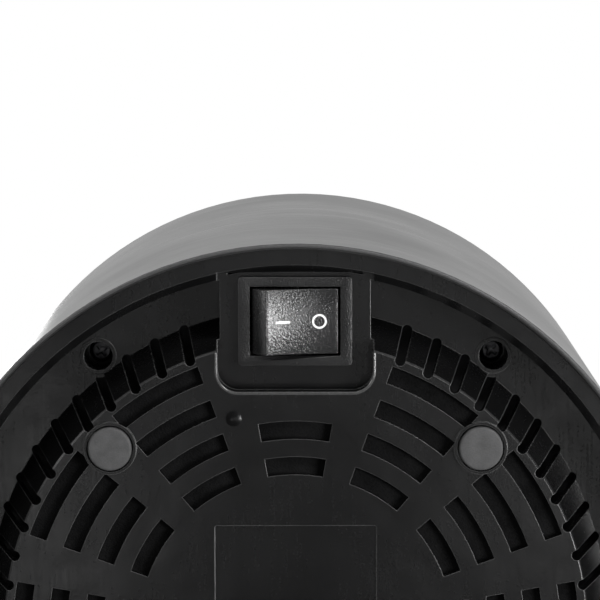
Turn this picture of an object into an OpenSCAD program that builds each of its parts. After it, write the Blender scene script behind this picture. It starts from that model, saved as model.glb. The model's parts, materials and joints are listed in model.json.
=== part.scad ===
// Round filament dryer: drum housing, vented base pan, fan, heater, turntable and lift-off lid.
// Millimetres, +Z up, the origin on the table under the drum's axis, the power switch towards +Y.

/* [Drum] */
// Outside diameter of the drum wall
drum_d = 216; // [213:0.5:222]
// Height of the drum wall
drum_h = 182.2; // [176:0.2:200]
// Thickness of the drum wall
drum_wall = 2.5; // [2.2:0.1:3]
// Gap between the table and the wall's bottom edge
rim_gap = 5.3; // [4.5:0.1:6]
// Thickness of the wall's bottom lip, beside the base pan
rim_lip = 1.4; // [1:0.1:1.8]
// Radius of the rounded top edge
top_round = 1.2; // [0.6:0.1:1.8]

/* [Base pan] */
// Thickness of the base pan's walls
pan_t = 2.2; // [1.8:0.1:2.6]
// Height of the grille face above the table
grille_gap = 2.5; // [2:0.1:3.5]
// Draft angle of the basket's side wall
basket_draft = 19.4; // [17:0.2:21]
// Width of the moat at the level of the grille face
moat_w = 18.2; // [17:0.1:20]
// Depth of the moat floor above the grille face
moat_depth = 19; // [17.5:0.5:21]
// Width of the pan's outer ledge
ledge_w = 4.5; // [3.6:0.1:5]
// Bevel between the ledge and the moat
ledge_bevel = 2.2; // [1.4:0.1:2.6]
// Step from the wall's bottom edge up to the ledge
ledge_step = 1.2; // [0.6:0.1:2]

/* [Grille] */
// Width of one curved vent slot
vent_w = 5; // [4:0.1:5.4]
// Width of the bar between two vent rings
bar_w = 5; // [4.6:0.1:6]
// Plain margin outside the outer vent ring
vent_margin = 2.7; // [2.2:0.1:3.2]
// Number of vent rings
vent_rings = 4; // [2:1:4]
// Angle that one vent slot spans
vent_angle = 20; // [14:1:22]
// Width of a slot in the basket's side wall
side_slot_w = 2.9; // [2:0.1:3.2]
// How far a side slot reaches in over the grille face
side_slot_reach = 2; // [1:0.1:2.1]
// How far a side slot runs out into the moat's floor
side_slot_out = 0.9; // [0.6:0.1:1]
// Angle between side slots
side_slot_step = 6; // [6,7.5,8,9,10,12]
// Width of the plain label panel
label_w = 45; // [36:1:50]
// Length of the plain label panel
label_l = 59; // [44:1:62]
// Depth of the plain label panel
label_depth = 0.4; // [0.2:0.1:0.8]

/* [Feet and screws] */
// Diameter of a rubber foot
foot_d = 12.1; // [10:0.1:13]
// Distance of the feet from the grille face's edge
foot_inset = 8.9; // [8.4:0.1:13]
// Wall of the cup around a foot
cup_wall = 0.8; // [0.6:0.1:1.2]
// How far the cup stands proud of the grille face
cup_proud = 1.2; // [0.6:0.1:1.6]
// Distance of the base screws from the basket's foot
screw_inset = 5; // [4.8:0.1:6]
// Angle of the base screws from the switch side
screw_bearing = 36.8; // [34:0.2:40]
// Diameter of a base screw's counterbore
well_d = 8.2; // [7.6:0.1:8.6]
// Depth of the counterbore above the moat floor
well_depth = 14.4; // [12:0.2:16]
// Shank diameter of a base screw
screw_d = 3.6; // [3:0.1:4]

/* [Power switch] */
// Distance of the switch from the moat's outer wall
switch_inset = 13.6; // [13.4:0.1:14.4]
// Depth of the switch platform above the grille face
platform_depth = 6.5; // [5.5:0.1:8]
// Width of the switch platform
platform_w = 42; // [40:0.5:43]
// Length of the switch bezel
bezel_l = 31.6; // [31:0.1:32.4]
// Width of the switch bezel
bezel_w = 24.6; // [24:0.1:24.8]
// Thickness of the switch bezel
bezel_t = 2; // [1.6:0.1:2.4]
// Half of the rocker's face length
rocker_half = 10.3; // [9.8:0.1:10.6]
// Width of the rocker
rocker_w = 18.1; // [17:0.1:18.6]
// Distance from the rocker's face to its pivot
rocker_rise = 7.8; // [7.4:0.1:8]
// Tilt of the rocker from level, each way
rocker_tilt = 13; // [10:0.5:14]
// Depth of the pivot above the bezel's face
pivot_depth = 5.5; // [5.3:0.1:6]

/* [Fan and heater] */
// Thickness of the fan
fan_h = 25; // [24:0.5:32]
// Diameter of the impeller
impeller_d = 112; // [104:1:113]
// Gap between the blades and the fan's bore
tip_gap = 2; // [1.5:0.1:2.5]
// Wall around the fan's bore at its thinnest
fan_wall = 2; // [1.8:0.1:2.6]
// Number of fan blades
fan_blades = 7; // [5:1:9]
// Distance of the fan's screw holes from its sides
fan_hole_inset = 7.5; // [7:0.1:8]
// Thickness of the deck that carries the fan
deck_t = 2.5; // [2:0.1:3]
// Height of the heater housing
heater_h = 22; // [21:0.5:30]
// Height of the heater core
core_h = 15; // [12:0.5:16]
// Gap between the heater core and its housing, at each end
core_gap = 3.5; // [2.5:0.5:9]
// Width of one fin row in the heater core
fin_row = 16; // [14:0.5:18]

/* [Spool chamber] */
// Air gap between the drum wall and the chamber liner
liner_gap = 2; // [1.5:0.1:2.4]
// Thickness of the chamber liner
liner_t = 1.5; // [1.2:0.1:2]
// Gap between the turntable's edge and the chamber's wall
table_gap = 4; // [2.5:0.5:7]
// Thickness of the turntable plate
table_t = 2.5; // [2:0.1:3]
// Outside diameter of the spool hub on the turntable
hub_d = 50; // [44:0.5:52]
// Height of the spool hub above the plate
hub_h = 12; // [6:0.5:20]
// Bore of the turntable bearing
bearing_bore = 8; // [7:0.5:8]
// Outside diameter of the turntable bearing
bearing_d = 22; // [21:0.5:24]
// Width of the turntable bearing
bearing_w = 7; // [6:0.5:8]
// Bore of a filament outlet
outlet_bore = 4.2; // [4:0.1:4.6]
// Height of the filament outlets above the chamber floor
outlet_rise = 46; // [36:1:60]
// Angle of each filament outlet from the front
outlet_bearing = 40; // [34:1:50]

/* [Control panel] */
// Half angle of the control panel
panel_angle = 18; // [17:0.5:20]
// Height of the control panel
panel_h = 32; // [31.5:0.5:33]
// Half angle of the display window
lens_angle = 11.4; // [10:0.1:12]
// Height of the display window
lens_h = 15; // [12:0.5:16]
// Diameter of a button
button_d = 8; // [7:0.1:9]
// Distance between buttons
button_pitch = 18; // [16:0.5:19]
// Travel of a button
button_travel = 0.8; // [0.5:0.1:0.9]

/* [Lid] */
// Thickness of the liner's top flange
flange_t = 2; // [1.6:0.1:2.6]
// Height of the lid frame above the flange
lid_h = 6.5; // [6:0.1:9]
// Depth of the lid's skirt
skirt_h = 6.5; // [5.5:0.1:10]
// Width of the lid frame around the window
frame_w = 23; // [21.5:0.5:31.5]
// Thickness of the lid window
window_t = 2.4; // [2:0.1:2.5]
// Diameter of the vent dial
dial_d = 52; // [50:0.5:56]
// Thickness of the vent dial
dial_t = 2; // [1.6:0.1:3]
// Height of the dial's grip
grip_h = 5; // [4:0.5:8]
// Number of vent holes under the dial
dial_holes = 6; // [4,5,6]

/* [Hidden] */
$fn = 96;

cut = 1;            // how far a cutting solid runs past the face that it cuts
fit_gap = 0.1;      // between parts that are pushed together
run_gap = 0.05;     // around a shaft that turns in a bore
free_gap = 0.3;     // between parts that move past each other
lead_gap = 0.4;     // between a lead's end and what it is soldered to

drum_r = drum_d / 2;
shell_in_r = drum_r - drum_wall;
wall_top = rim_gap + drum_h;
pan_r = drum_r - rim_lip - fit_gap;
ledge_in_r = pan_r - ledge_w;
moat_r = ledge_in_r - ledge_bevel;
ledge_z = rim_gap + ledge_step;
rebate_top = ledge_z + pan_t + fit_gap;

face_z = grille_gap;
face_top = face_z + pan_t;
floor_z = face_z + moat_depth;
floor_top = floor_z + pan_t;
face_r = moat_r - moat_w;
foot_r = face_r - foot_inset;
switch_y = moat_r - switch_inset;
foot_of_basket = face_r + moat_depth * tan(basket_draft);
wall_step = pan_t / cos(basket_draft);
vent_out_r = face_r - vent_margin;
vent_pitch = vent_w + bar_w;
sectors = 12;
sector_step = 360 / sectors;

cup_r = foot_d / 2 + 0.5;
foot_top = face_z - cup_proud + 2.3;
gate_x = 17.1;
gate_d = 4.5;
gate_proud = 0.5;
gate_ball = (pow(gate_d / 2, 2) + pow(gate_proud, 2)) / (2 * gate_proud);

screw_r = foot_of_basket + screw_inset;
screw_angles = [screw_bearing, 180 - screw_bearing, 180 + screw_bearing, -screw_bearing];
well_wall = 2.2;
seat_z = floor_z + well_depth;
deck_z = seat_z + pan_t + fit_gap;
deck_top = deck_z + deck_t;
boss_r = 4.5;
thread_len = 16;

platform_z = face_z + platform_depth;
platform_top = platform_z + pan_t;
pocket_draft = 0.8;
pocket_round = 6;
pocket_margin = 7.1;
pocket_y = switch_y - bezel_w / 2 - pocket_margin;
gate_y = pocket_y - 7.2;
bezel_z = platform_z - bezel_t;
pivot_z = bezel_z + pivot_depth;
rocker_r = sqrt(pow(rocker_half, 2) + pow(rocker_rise, 2));
opening_l = 2 * (rocker_r - 0.3);
opening_w = rocker_w + 1.3;
cavity_l = 2 * (rocker_r + 0.4);
switch_l = cavity_l + 1.4;
switch_w = opening_w + 2.2;
switch_depth = 20;
terminal_len = 8;
axle_r = 1.5;

fan_z = deck_top;
fan_top = fan_z + fan_h;
fan_bore = impeller_d + 2 * tip_gap;
fan_side = fan_bore + 2 * fan_wall;
fan_half = fan_side / 2;
fan_pitch = fan_side - 2 * fan_hole_inset;
motor_r = 21;
strut_t = 3.5;
magnet_t = 2.3;
hub_wall = 1.5;
fan_shaft_r = 1.5;
fan_bearing_r = 4;
heater_z = fan_top;
heater_top = heater_z + heater_h;
heater_wall = 2.5;
baffle_t = 2;
core_z = heater_z + baffle_t;
core_l = fan_side - 2 * heater_wall - 2 * core_gap;
bar_t = 4;
liner_z = heater_top + 0.2;
liner_floor_t = 2;
chamber_z = liner_z + liner_floor_t;
liner_r = shell_in_r - liner_gap;
chamber_r = liner_r - liner_t;
flange_r = drum_r - 0.8;
lid_z = wall_top + flange_t + fit_gap;

spindle_r = bearing_bore / 2;
boss_top = chamber_z + 5.3;
bearing_top = boss_top + bearing_w;
race_t = (bearing_d - bearing_bore) / 2 * 0.3;
ball_r = ((bearing_d - bearing_bore) / 2 - 2 * race_t) / 2 - 0.03;
ball_ring_r = (bearing_d + bearing_bore) / 4;
table_z = boss_top + 0.8;
table_top = table_z + table_t;
table_r = chamber_r - table_gap;
slot_row = (table_r - hub_d / 2 - 33) / 2;
sensor_x = -30;
sensor_y = 24 - chamber_r;

outlet_z = chamber_z + outlet_rise;
outlet_r = 5;
outlet_flange_r = 8;
outlet_flange_t = 1.5;
outlet_angles = [outlet_bearing - 90, -outlet_bearing - 90];

panel_z = 50;
panel_out_r = drum_r - 0.8;
panel_back_r = shell_in_r - 0.1;
panel_in_r = panel_back_r - 1.5;
lens_out_r = panel_out_r - 0.2;
lens_z = panel_z + panel_h - lens_h - 3.4;
button_z = panel_z + 5.6;
board_y = panel_in_r - 9.1;
stem_y = board_y + 4.4;
display_half = 22;
board_t = 1.6;
board_half = 36;

inlet_z = 56;
inlet_face = drum_r - 1.8;
inlet_l = 24;
inlet_w = 14;
inlet_body_l = 20;
inlet_body_w = 11;
inlet_depth = 18;
inlet_pitch = 8.6;

supply_z = deck_top + 4;
supply_x = [7.5 - shell_in_r, -fan_half - 6];
supply_half = 30;
supply_mid = (supply_x[0] + supply_x[1]) / 2;
capacitor_r = 5;
capacitor_h = 20;
hole_inset = 4;

lid_r = flange_r - 0.7;
lid_top = lid_z + lid_h;
skirt_r = chamber_r - 1.6;
skirt_t = 2.9;
skirt_z = lid_z - skirt_h;
window_r = lid_r - frame_w;
window_z = lid_top - window_t - 0.6;
dome_rise = 3;
vent_hole_r = 20;
vent_top = window_z + window_t + dome_rise + 1.6;
dial_r = dial_d / 2;
dial_z = vent_top + free_gap;
dial_top = dial_z + dial_t;
stub_r = 3;
dial_sweep = 180 / dial_holes;

// Shared shapes
module ring(r_out, r_in, z0, z1) {
    difference() {
        translate([0, 0, z0]) cylinder(r = r_out, h = z1 - z0);
        translate([0, 0, z0 - cut]) cylinder(r = r_in, h = z1 - z0 + 2 * cut);
    }
}
module disc(r, z0, z1) translate([0, 0, z0]) cylinder(r = r, h = z1 - z0);
module block(x0, x1, y0, y1, z0, z1) translate([x0, y0, z0]) cube([x1 - x0, y1 - y0, z1 - z0]);
// part of a ring, from angle a0 to a1, measured from +X
module arc(r_out, r_in, z0, z1, a0, a1) {
    rotate([0, 0, a0]) rotate_extrude(angle = a1 - a0)
        translate([r_in, z0]) square([r_out - r_in, z1 - z0]);
}
// puts children at a bearing from the switch side, at a distance from the axis
module at_bearing(angle, r) rotate([0, 0, angle]) translate([0, r, 0]) children();
module at_screws() for (a = screw_angles) at_bearing(a, screw_r) children();
module at_feet() for (a = [45 : 90 : 315]) at_bearing(a, foot_r) children();
module at_corners(s) for (x = [-s, s], y = [-s, s]) translate([x, y, 0]) children();
function unit(v) = v / norm(v);
// a smooth curve through the points of a route
function curve_point(a, b, c, d, t) = 0.5 * (2 * b + (c - a) * t + (2 * a - 5 * b + 4 * c - d) * t * t
    + (3 * b - a - 3 * c + d) * t * t * t);
function smooth_route(p, steps = 4) = [for (i = [0 : len(p) - 2], k = [0 : steps - 1])
    curve_point(p[max(i - 1, 0)], p[i], p[i + 1], p[min(i + 2, len(p) - 1)], k / steps), p[len(p) - 1]];
function heading(p, i) = unit(p[min(i + 1, len(p) - 1)] - p[max(i - 1, 0)]);
// a side direction for each ring of a tube, carried along the route without twisting
function sides(p, i, list) = i == len(p) ? list : let (t = heading(p, i), n = list[i - 1])
    sides(p, i + 1, concat(list, [unit(n - (n * t) * t)]));
module wire(points, r) {
    count = 8;
    p = smooth_route(points);
    t0 = heading(p, 0);
    first = unit(cross(t0, abs(t0[2]) > 0.8 ? [1, 0, 0] : [0, 0, 1]));
    n = sides(p, 1, [first]);
    rings = [for (i = [0 : len(p) - 1], k = [0 : count - 1])
        p[i] + r * (cos(k * 360 / count) * n[i] + sin(k * 360 / count) * cross(heading(p, i), n[i]))];
    last = (len(p) - 1) * count;
    polyhedron(rings, [[for (k = [0 : count - 1]) k], [for (k = [0 : count - 1]) last + count - 1 - k],
        for (i = [0 : len(p) - 2], k = [0 : count - 1]) [i * count + k, (i + 1) * count + k,
            (i + 1) * count + (k + 1) % count, i * count + (k + 1) % count]]);
}
module round_rect(l, w, r) {
    union() {
        square([l - 2 * r, w], center = true);
        square([l, w - 2 * r], center = true);
        for (x = [-1, 1], y = [-1, 1])
            translate([x * (l / 2 - r), y * (w / 2 - r)]) circle(r = r, $fn = 32);
    }
}
module plate(l, w, r, z0, z1) translate([0, 0, z0]) linear_extrude(z1 - z0) round_rect(l, w, r);

// Housing
module outer_shell() {
    color("#2b2b2b") difference() {
        union() {
            rotate_extrude($fn = 180) polygon([
                [drum_r - 0.4, rim_gap], [drum_r, rim_gap + 0.4], [drum_r, wall_top - top_round],
                for (a = [15 : 15 : 90]) [drum_r - top_round * (1 - cos(a)),
                    wall_top - top_round * (1 - sin(a))],
                [shell_in_r, wall_top], [shell_in_r, rebate_top], [drum_r - rim_lip, rebate_top],
                [drum_r - rim_lip, rim_gap]]);
            intersection() {
                at_screws() {
                    disc(boss_r, deck_top + fit_gap, liner_z - fit_gap);
                    block(-1.5, 1.5, 0, shell_in_r, deck_top + fit_gap, liner_z - fit_gap);
                }
                disc(shell_in_r + 0.5, 0, wall_top);
            }
            intersection() {
                block(inlet_face - 2.5, drum_r, -inlet_l / 2 - 3, inlet_l / 2 + 3,
                    inlet_z - inlet_w / 2 - 3, inlet_z + inlet_w / 2 + 3);
                disc(drum_r - 0.5, 0, wall_top);
            }
        }
        at_screws() {
            disc(screw_d / 2 + run_gap, deck_top - cut, deck_top + thread_len + 2);
            disc(screw_d / 2 - 0.5 + run_gap, liner_z - thread_len, liner_z + cut);
        }
        arc(drum_r + cut, shell_in_r - cut, panel_z, panel_z + panel_h,
            -90 - panel_angle, -90 + panel_angle);
        for (a = outlet_angles) rotate([0, 0, a]) translate([shell_in_r - 4, 0, outlet_z])
            rotate([0, 90, 0]) cylinder(r = outlet_r + fit_gap, h = drum_wall + 8);
        translate([inlet_face, 0, inlet_z]) rotate([90, 0, 90])
            linear_extrude(10) round_rect(inlet_l + 2 * fit_gap, inlet_w + 2 * fit_gap, 3);
        block(inlet_face - 10, inlet_face + cut, -inlet_body_l / 2 - fit_gap, inlet_body_l / 2 + fit_gap,
            inlet_z - inlet_body_w / 2 - fit_gap, inlet_z + inlet_body_w / 2 + fit_gap);
    }
}

// the pocket in the grille face that the switch sits in, open towards the rim
module pocket(grow, z0, z1) {
    half = platform_w / 2 + pocket_draft + grow;
    y0 = pocket_y - grow;
    r = pocket_round + grow;
    translate([0, 0, z0]) linear_extrude(z1 - z0) {
        translate([-half, y0 + r]) square([2 * half, moat_r - y0 - r]);
        translate([-half + r, y0]) square([2 * half - 2 * r, 2 * r]);
        for (x = [-1, 1]) translate([x * (half - r), y0 + r]) circle(r = r);
    }
}
module pan_profile() {
    rotate_extrude($fn = 180) polygon([
        [0, face_z], [face_r - 0.5, face_z], [face_r, face_z + 0.5], [foot_of_basket, floor_z],
        [moat_r, floor_z], [moat_r, ledge_z + ledge_bevel], [ledge_in_r, ledge_z], [pan_r, ledge_z],
        [pan_r, ledge_z + pan_t], [moat_r + pan_t + ledge_bevel, ledge_z + pan_t],
        [moat_r + pan_t, ledge_z + pan_t + ledge_bevel], [moat_r + pan_t, floor_top],
        [foot_of_basket + pan_t * tan(basket_draft) - wall_step, floor_top],
        [face_r + pan_t * tan(basket_draft) - wall_step, face_top], [0, face_top]]);
}
// the space inside the basket's outer face
module basket_solid() {
    rotate_extrude($fn = 180) polygon([[0, face_z], [face_r - 0.5, face_z], [face_r, face_z + 0.5],
        [foot_of_basket, floor_z], [foot_of_basket, floor_top], [0, floor_top]]);
}
module vents() {
    for (s = [0 : sectors - 1], k = [0 : vent_rings - 1]) {
        clear = s > 0 || vent_out_r - k * vent_pitch < pocket_y - pan_t - 1;
        if (clear) arc(vent_out_r - k * vent_pitch, vent_out_r - k * vent_pitch - vent_w,
            face_z - cut, face_top + cut, 90 + s * sector_step - vent_angle / 2,
            90 + s * sector_step + vent_angle / 2);
    }
}
module side_slots() {
    inner = face_r - side_slot_reach + side_slot_w / 2;
    outer = foot_of_basket + side_slot_out - side_slot_w / 2;
    for (a = [side_slot_step / 2 : side_slot_step : 360]) if (cos(a) < cos(platform_w * 0.4)) {
        at_bearing(a, 0) {
            block(-side_slot_w / 2, side_slot_w / 2, inner, outer, face_z - cut, floor_top + cut);
            for (r = [inner, outer])
                translate([0, r, 0]) disc(side_slot_w / 2, face_z - cut, floor_top + cut, $fn = 24);
        }
    }
}
module foot_cups() at_feet() disc(cup_r + cup_wall, face_z - cup_proud, face_top - 0.3);
module base_pan() {
    half = platform_w / 2;
    color("#151515") difference() {
        union() {
            difference() {
                pan_profile();
                vents();
                side_slots();
                block(-half + pan_t, half - pan_t, pocket_y, moat_r, face_z + cut, floor_top + cut);
            }
            intersection() {
                pocket(pan_t, face_z, platform_top);
                basket_solid();
            }
            intersection() {
                block(-half, half, pocket_y + pocket_round, moat_r + 1, platform_z, floor_top);
                disc(moat_r + 1, 0, floor_top);
            }
            foot_cups();
            at_screws() {
                disc(well_d / 2 + well_wall, floor_z + 0.2, seat_z + pan_t);
                disc(well_d / 2 + 1, floor_z - 0.4, floor_z + 0.5);
            }
            translate([gate_x, gate_y, face_z + gate_ball - gate_proud]) intersection() {
                sphere(r = gate_ball);
                disc(gate_d, -gate_ball, gate_proud + 0.6 - gate_ball);
            }
        }
        pocket(0, face_z - 5, platform_z);
        intersection() {
            block(-half + pan_t, half - pan_t, pocket_y + pan_t, moat_r, platform_top, floor_top + cut);
            disc(moat_r, 0, floor_top + 2 * cut);
        }
        translate([0, switch_y, 0])
            plate(switch_l + 2 * fit_gap, switch_w + 2 * fit_gap, 0.5, face_z, floor_top);
        at_feet() disc(cup_r, -cut, foot_top);
        at_screws() {
            disc(well_d / 2, face_z, seat_z);
            disc(screw_d / 2 + 0.2, seat_z - cut, seat_z + pan_t + cut);
        }
        plate(label_w, label_l, 0.6, face_z - cut, face_z + label_depth);
    }
}
module rubber_feet() {
    color("#5c5c5c") at_feet() rotate_extrude($fn = 64) polygon([[0, 0], [foot_d / 2 - 0.4, 0],
        [foot_d / 2, 0.4], [foot_d / 2, foot_top], [0, foot_top]]);
}
module cross_recess(size, z0, z1) {
    block(-size / 2, size / 2, -size / 8, size / 8, z0, z1);
    block(-size / 8, size / 8, -size / 2, size / 2, z0, z1);
}
// a screw whose head faces down and whose shank points up
module screw_up(head_r, head_t, shank_r, len) {
    difference() {
        union() {
            rotate_extrude($fn = 48) polygon([[0, 0], [head_r * 0.7, 0], [head_r, head_t * 0.45],
                [head_r, head_t], [0, head_t]]);
            disc(shank_r, head_t - 0.1, head_t + len);
        }
        cross_recess(head_r * 1.1, -cut, head_t * 0.7);
    }
}
module screw_down(head_r, head_t, shank_r, len) mirror([0, 0, 1]) screw_up(head_r, head_t, shank_r, len);
module base_screws() {
    head_t = 2.6;
    color("#8a8a8a") at_screws() translate([0, 0, seat_z - head_t])
        screw_up(3.5, head_t, screw_d / 2, pan_t + deck_t + thread_len);
}

// Power switch
module switch_housing() {
    color("#242424") translate([0, switch_y, 0]) difference() {
        union() {
            plate(bezel_l, bezel_w, 1, bezel_z, platform_z);
            plate(switch_l, switch_w, 0.4, platform_z - 0.1, platform_z + switch_depth);
        }
        plate(opening_l, opening_w, 0.3, bezel_z - cut, platform_z);
        plate(cavity_l, opening_w, 0.3, platform_z - 0.01, platform_z + switch_depth - 8);
        translate([0, 0, pivot_z]) rotate([90, 0, 0]) cylinder(r = axle_r + run_gap,
            h = opening_w + 2.6, center = true);
    }
}
module rocker_pose() translate([0, switch_y, pivot_z]) rotate([0, rocker_tilt, 0]) children();
module switch_rocker() {
    color("#3a3a3a") rocker_pose() union() {
        intersection() {
            rotate([90, 0, 0]) cylinder(r = rocker_r, h = rocker_w, center = true, $fn = 180);
            block(-rocker_r, rocker_r, -rocker_w / 2, rocker_w / 2, -rocker_rise, 2.5);
        }
        rotate([90, 0, 0]) cylinder(r = axle_r, h = opening_w + 1.4, center = true);
    }
}
module rocker_marks() {
    ink = 0.08;
    color("white") rocker_pose() translate([0, 0, -rocker_rise - ink]) {
        block(rocker_half / 2 - 2.1, rocker_half / 2 + 2, -0.33, 0.33, 0, ink);
        translate([-rocker_half / 2 - 0.1, 0, 0]) ring(2.05, 1.5, 0, ink);
    }
}
module switch_terminals() {
    color("#c8b070") for (x = [-7, 7], y = [-4, 4]) translate([x, switch_y + y, 0])
        block(-0.4, 0.4, -3, 3, platform_z + switch_depth, platform_z + switch_depth + terminal_len);
}

// Intake filter and fan deck
module dust_filter() {
    inner = vent_out_r - vent_rings * vent_pitch + bar_w - 2;
    color("#303030") difference() {
        ring(vent_out_r + 0.6, inner, face_top, face_top + 3);
        pocket(pan_t + free_gap, 0, floor_z);
    }
}
module fan_deck() {
    post = board_half - 5;
    color("#3c3c40") difference() {
        union() {
            disc(shell_in_r - 0.5, deck_z, deck_top);
            at_corners(fan_pitch / 2) disc(4, deck_z - 6, deck_top);
            for (x = [-post, post])
                block(x - 3, x + 3, -board_y - 2.8, -board_y + 4, deck_top - 0.1, deck_top + 8);
            at_board_holes() disc(3, deck_top - 0.1, supply_z);
        }
        disc(fan_bore / 2, deck_z - cut, deck_top + cut);
        at_screws() disc(screw_d / 2 + 0.3, deck_z - cut, deck_top + cut);
        at_corners(fan_pitch / 2) disc(2.1, deck_z - 7, deck_top + cut);
        translate([0, switch_y, 0]) plate(28, 13, 3, deck_z - cut, deck_top + cut);
        at_board_holes() disc(1.3, deck_top - 1, supply_z + cut);
        block(-board_half - fit_gap, board_half + fit_gap, -board_y - fit_gap,
            -board_y + board_t + fit_gap, deck_top + 1, deck_top + 9);
    }
}

// Fan
module fan_outline(z0, z1) plate(fan_side, fan_side, 5, z0, z1);
module fan_frame() {
    cap_z = fan_top - strut_t;
    color("#1c1c1c") difference() {
        union() {
            difference() {
                union() {
                    fan_outline(fan_z, fan_z + 4);
                    fan_outline(fan_top - 4, fan_top);
                    disc(fan_side / 2 - 0.3, fan_z, fan_top);
                }
                disc(fan_bore / 2, fan_z - cut, fan_top + cut);
            }
            disc(motor_r, cap_z, fan_top);
            for (a = [45 : 90 : 315]) rotate([0, 0, a])
                block(motor_r - 1, fan_bore / 2 + 0.5, -1.5, 1.5, cap_z, fan_top);
            ring(fan_bearing_r + 1.2, fan_bearing_r, fan_z + 5, cap_z + 0.1);
        }
        at_corners(fan_pitch / 2) disc(2.2, fan_z - cut, fan_top + cut);
    }
}
module fan_stator() {
    inner = fan_bearing_r + 1.2 + fit_gap;
    outer = motor_r - hub_wall - magnet_t - 0.6;
    color("#b06a30") difference() {
        union() {
            disc(inner + 2.5, fan_top - strut_t - 11, fan_top - strut_t);
            for (a = [0 : 90 : 270]) rotate([0, 0, a])
                block(inner, outer - 1.5, -3, 3, fan_top - strut_t - 11, fan_top - strut_t - 3);
            for (a = [0 : 90 : 270])
                arc(outer, outer - 1.6, fan_top - strut_t - 11, fan_top - strut_t - 3, a - 36, a + 36);
        }
        disc(inner, fan_z, fan_top);
    }
}
module fan_bearings() {
    color("#a8a8a8") for (z = [fan_z + 5.4, fan_top - strut_t - 4])
        ring(fan_bearing_r - fit_gap / 2, fan_shaft_r + run_gap, z, z + 4);
}
module fan_impeller() {
    hub_z = fan_z + 2;
    mid = (hub_z + fan_top - strut_t - 1) / 2;
    color("#202020") {
        difference() {
            disc(motor_r, hub_z, fan_top - strut_t - 1);
            disc(motor_r - hub_wall, hub_z + 2, fan_top);
            disc(fan_shaft_r, hub_z - cut, hub_z + 3);
        }
        for (a = [0 : 360 / fan_blades : 359]) rotate([0, 0, a]) translate([0, 0, mid])
            intersection() {
                rotate([38, 0, 0]) block(motor_r - 1, impeller_d / 2 + 5, -16, 16, -0.8, 0.8);
                ring(impeller_d / 2, motor_r - 0.7, -8.5, 8.5);
            }
    }
}
module fan_magnet_ring() {
    color("#505050") ring(motor_r - hub_wall, motor_r - hub_wall - magnet_t,
        fan_z + 4, fan_top - strut_t - 2);
}
module fan_shaft() color("#c0c0c0") disc(fan_shaft_r, fan_z + 2, fan_top - strut_t - 0.2, $fn = 48);
module fan_screws() {
    color("#9a9a9a") at_corners(fan_pitch / 2) translate([0, 0, fan_top + 2.4])
        screw_down(3.6, 2.4, 2, fan_h + deck_t + 4);
}

// Heater
module heater_frame() {
    core_w = 3 * bar_t + 2 * fin_row;
    color("#4a4038") difference() {
        plate(fan_side, fan_side, 5, heater_z, heater_top);
        plate(fan_side - 2 * heater_wall, fan_side - 2 * heater_wall, 3, core_z, heater_top + cut);
        block(-core_l / 2 + 3, core_l / 2 - 3, -core_w / 2 + 2, core_w / 2 - 2, heater_z - cut, core_z + cut);
        at_corners(fan_pitch / 2) disc(4.2, heater_z - cut, core_z + cut);
        block(-fan_side / 2 - cut, -fan_side / 2 + heater_wall + cut, -5, 5, heater_top - 8, heater_top + cut);
    }
}
module heater_bars() {
    color("#c8c8cc") for (y = [-1, 0, 1]) translate([0, y * (bar_t + fin_row), 0])
        block(-core_l / 2, core_l / 2, -bar_t / 2, bar_t / 2, core_z, core_z + core_h);
}
module heater_fins() {
    fins = 24;
    step = (core_l - 8) / fins;
    color("#d4d4d8") for (side = [-1, 1], i = [0 : fins])
        translate([-core_l / 2 + 4 + i * step, side * (bar_t + fin_row) / 2, 0])
            block(-0.3, 0.3, -fin_row / 2, fin_row / 2, core_z + 0.5, core_z + core_h - 0.5);
}
module thermal_fuse() {
    color("#d8d0c0") translate([0, 0, core_z + core_h + 1.8]) {
        rotate([0, 90, 0]) cylinder(r = 1.8, h = 14, center = true, $fn = 32);
        block(-2, 2, -1.9, 1.9, -1.8, 0);
    }
}
module thermistor() {
    color("#303030") translate([core_l / 2 - 20, bar_t + fin_row, core_z + core_h]) {
        block(-3, 3, -1.5, 1.5, 0, 2.2);
        translate([3, 0, 1.1]) sphere(r = 1.1, $fn = 24);
    }
}

// Power supply
module at_board_holes() for (x = supply_x, y = [-1, 1])
    translate([x - sign(x - supply_mid) * hole_inset, y * (supply_half - hole_inset), 0]) children();
module power_board() {
    color("#1e5c34") difference() {
        block(supply_x[0], supply_x[1], -supply_half, supply_half, supply_z, supply_z + board_t);
        at_board_holes() disc(1.5, supply_z - cut, supply_z + board_t + cut);
    }
}
module board_screws() {
    color("#9a9a9a") at_board_holes() translate([0, 0, supply_z + board_t + 2])
        screw_down(2.7, 2, 1.25, board_t + 3.5);
}
module power_transformer() {
    z0 = supply_z + board_t;
    color("#c8a030") {
        translate([supply_mid - 1, 0, 0]) {
            block(-9, 9, -10, 8, z0, z0 + 4);
            block(-6, 6, -10, 8, z0 + 4, z0 + 16);
            block(-9, 9, -10, 8, z0 + 16, z0 + 19);
        }
    }
}
module power_capacitors() {
    z0 = supply_z + board_t;
    color("#283048") for (y = [15, -17]) translate([supply_mid - 4, y, 0])
        disc(capacitor_r, z0, z0 + capacitor_h, $fn = 48);
}
module power_relay() {
    z0 = supply_z + board_t;
    color("#2060a0") block(supply_mid + 4, supply_mid + 13, 9, 21, z0, z0 + 12);
}

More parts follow.
